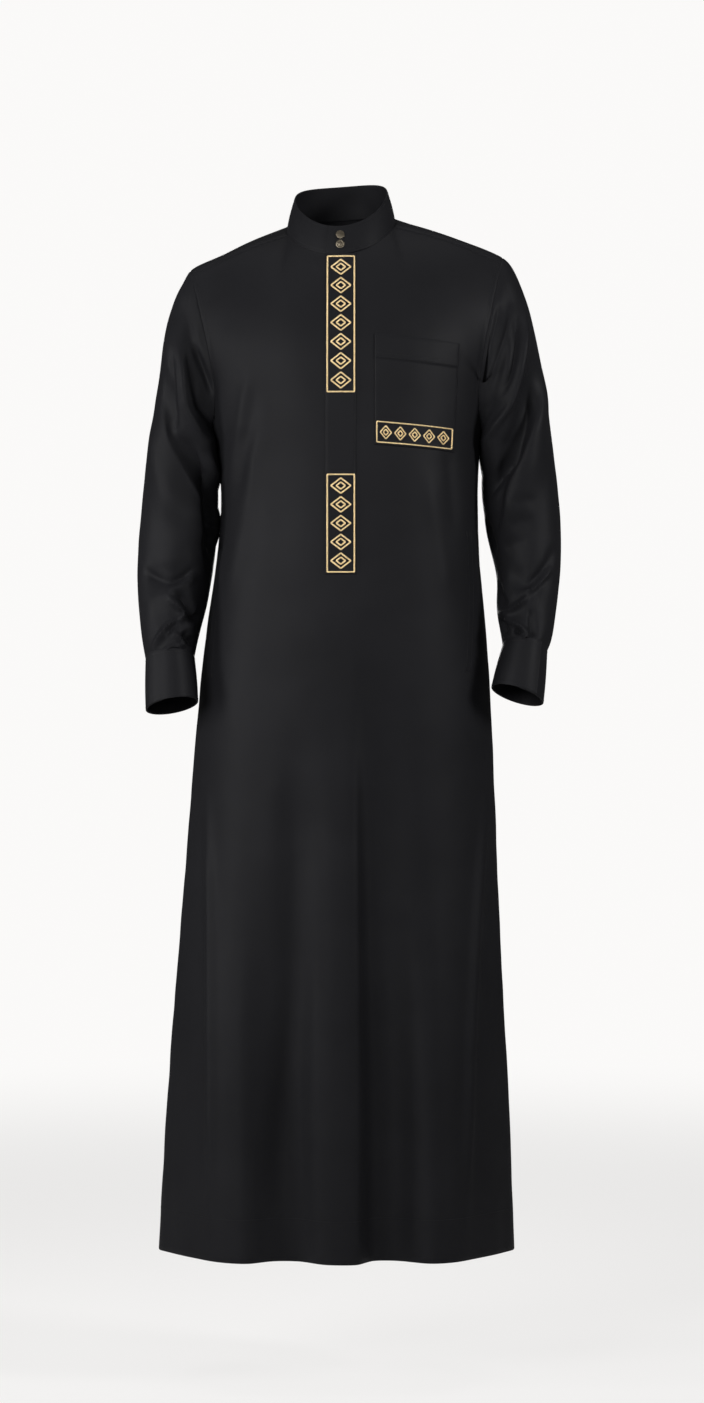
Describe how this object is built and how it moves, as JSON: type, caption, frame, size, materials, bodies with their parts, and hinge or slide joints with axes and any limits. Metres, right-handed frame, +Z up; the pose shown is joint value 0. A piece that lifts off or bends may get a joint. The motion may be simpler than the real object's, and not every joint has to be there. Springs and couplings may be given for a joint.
{
  "type": "men's thobe",
  "caption": "Ankle-length black robe as worn, hollow, with a stand collar, long front placket, chest pocket, set-in sleeves and lapped cuffs.",
  "frame": {"origin": "middle of the neck base at the height of the shoulders, where the wearer's neck and shoulders hold the robe up", "axes": "+Z up along the wearer, -Y to the front, +X to the wearer's left"},
  "size_m": [0.5813, 0.2984, 1.4734],
  "materials": {
    "suiting": "matte black twill suiting with a faint sheen",
    "gold_thread": "glossy gold embroidery thread",
    "snap_metal": "aged satin"
  },
  "bodies": {
    "root": {"front": "suiting", "back": "suiting", "yoke": "suiting", "sleeve_right": "suiting", "sleeve_left": "suiting", "cuff_right": "suiting", "cuff_left": "suiting", "collar": "suiting", "placket": "suiting", "pocket": "suiting", "snap_upper": "snap_metal", "snap_lower": "snap_metal"}
  },
  "joints": []
}
